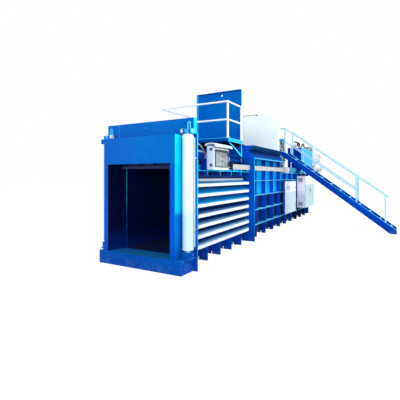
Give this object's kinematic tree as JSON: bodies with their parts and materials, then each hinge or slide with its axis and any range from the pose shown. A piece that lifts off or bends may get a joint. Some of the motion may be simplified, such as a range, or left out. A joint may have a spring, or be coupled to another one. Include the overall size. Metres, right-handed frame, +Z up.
{
  "type": "recycling baler",
  "caption": "Blue horizontal baler: ribbed press channel, twin tie cylinders, hopper, walkway, stair, power pack and cabinets.",
  "frame": {"origin": "on the ground, in the middle plane, under the front face of the bale mouth's sill", "axes": "+X from the bale mouth towards the tail, +Z up, -Y towards the stair and the operator's side"},
  "size_m": [11.84, 4.96, 3.73],
  "materials": {
    "machine_blue": "gloss",
    "machine_blue_dark": "satin",
    "cylinder_white": "gloss",
    "trim_white": "satin",
    "rail_white": "satin",
    "chromed_steel": "polished",
    "bare_steel": "machined",
    "pipe_grey": "satin",
    "box_white": "satin",
    "window_clear": "clear",
    "panel_grey": "satin",
    "screen_dark": "gloss",
    "lock_plastic": "matt",
    "cabinet_white": "satin",
    "cabinet_pale": "satin",
    "tray_grey": "satin",
    "black_plastic": "matt",
    "motor_white": "satin",
    "cooler_silver": "satin",
    "pump_blue": "satin",
    "valve_steel": "satin",
    "hose_rubber": "matt"
  },
  "bodies": {
    "machine": {"mouth_sill": "machine_blue", "mouth_columns": "machine_blue", "mouth_header": "machine_blue", "frame_plates": "machine_blue", "tie_foot_brackets": "machine_blue", "channel_side_left": "machine_blue", "channel_side_right": "machine_blue", "channel_floor": "machine_blue", "roof_plates": "machine_blue", "chamber_side_left": "machine_blue", "chamber_side_right": "machine_blue", "hopper_sides": "machine_blue", "hopper_front": "machine_blue", "hopper_front_plate": "machine_blue", "cylinder_bulkheads": "machine_blue", "walkway_deck": "machine_blue", "walkway_supports": "machine_blue", "stair_stringers": "machine_blue", "stair_treads": "machine_blue", "stair_landing": "machine_blue", "side_brackets": "machine_blue", "power_pack_frame": "machine_blue", "oil_tank": "machine_blue", "tie_barrels": "cylinder_white", "bar_lips": "trim_white", "hopper_rear_plate": "trim_white", "walkway_rails": "rail_white", "stair_rails": "rail_white", "flap_pin": "bare_steel", "shear_blade": "bare_steel", "tie_pipes": "pipe_grey", "main_cylinder_barrel": "machine_blue_dark", "control_box": "box_white", "control_box_roof": "box_white", "control_panel": "panel_grey", "operator_screen": "screen_dark", "side_cabinet": "cabinet_white", "electric_cabinet": "cabinet_white", "cable_trays": "tray_grey", "tank_caps": "black_plastic", "pump_motor": "motor_white", "oil_cooler": "cooler_silver", "circulation_pump": "pump_blue", "valve_blocks": "valve_steel", "oil_hoses": "hose_rubber"},
    "ram": {"ram_head": "machine_blue", "ram_rod": "chromed_steel"},
    "crosshead": {"crosshead_beam": "machine_blue", "press_plate": "machine_blue", "tie_rods": "chromed_steel", "tie_pins": "bare_steel"},
    "flap": {"top_flap": "machine_blue"},
    "control_door": {"control_box_door": "box_white", "control_box_window": "window_clear"},
    "upper_lock": {"door_lock_upper": "lock_plastic"},
    "lower_lock": {"door_lock_lower": "lock_plastic"},
    "side_door": {"side_cabinet_door": "cabinet_white"},
    "cabinet_door_front": {"electric_door_front": "cabinet_pale"},
    "cabinet_door_rear": {"electric_door_rear": "cabinet_pale"},
    "cabinet_handle": {"electric_door_handle": "lock_plastic"}
  },
  "joints": [
    {"name": "ram_stroke", "type": "slide", "parent": "machine", "child": "ram", "axis": [-1, 0, 0], "range_m": [0, 2.75]},
    {"name": "crosshead_lift", "type": "slide", "parent": "machine", "child": "crosshead", "axis": [0, 0, 1], "range_m": [0, 0.12]},
    {"name": "flap_swing", "type": "hinge", "parent": "machine", "child": "flap", "pos_m": [2.6, 0, 1.762], "axis": [0, 1, 0], "range_deg": [0, 2.9]},
    {"name": "control_door_swing", "type": "hinge", "parent": "machine", "child": "control_door", "pos_m": [0.95, -0.9933, 1.93], "axis": [0, 0, -1], "range_deg": [0, 110]},
    {"name": "upper_lock_turn", "type": "hinge", "parent": "control_door", "child": "upper_lock", "pos_m": [1.56, -1.0013, 2.026], "axis": [0, 1, 0], "range_deg": [0, 90]},
    {"name": "lower_lock_turn", "type": "hinge", "parent": "control_door", "child": "lower_lock", "pos_m": [1.56, -1.0013, 1.846], "axis": [0, 1, 0], "range_deg": [0, 90]},
    {"name": "side_door_swing", "type": "hinge", "parent": "machine", "child": "side_door", "pos_m": [7.72, -0.8233, 0.9], "axis": [0, 0, 1], "range_deg": [0, 95]},
    {"name": "cabinet_front_swing", "type": "hinge", "parent": "machine", "child": "cabinet_door_front", "pos_m": [8.06, -1.1083, 1.025], "axis": [0, 0, -1], "range_deg": [0, 90]},
    {"name": "cabinet_rear_swing", "type": "hinge", "parent": "machine", "child": "cabinet_door_rear", "pos_m": [9.51, -1.1083, 1.025], "axis": [0, 0, 1], "range_deg": [0, 110]},
    {"name": "handle_turn", "type": "hinge", "parent": "cabinet_door_front", "child": "cabinet_handle", "pos_m": [8.745, -1.1203, 1.05], "axis": [0, -1, 0], "range_deg": [0, 90]}
  ],
  "couplings": [
    {"joint": "flap_swing", "follows": "crosshead_lift", "rad_per_m": 0.42}
  ]
}
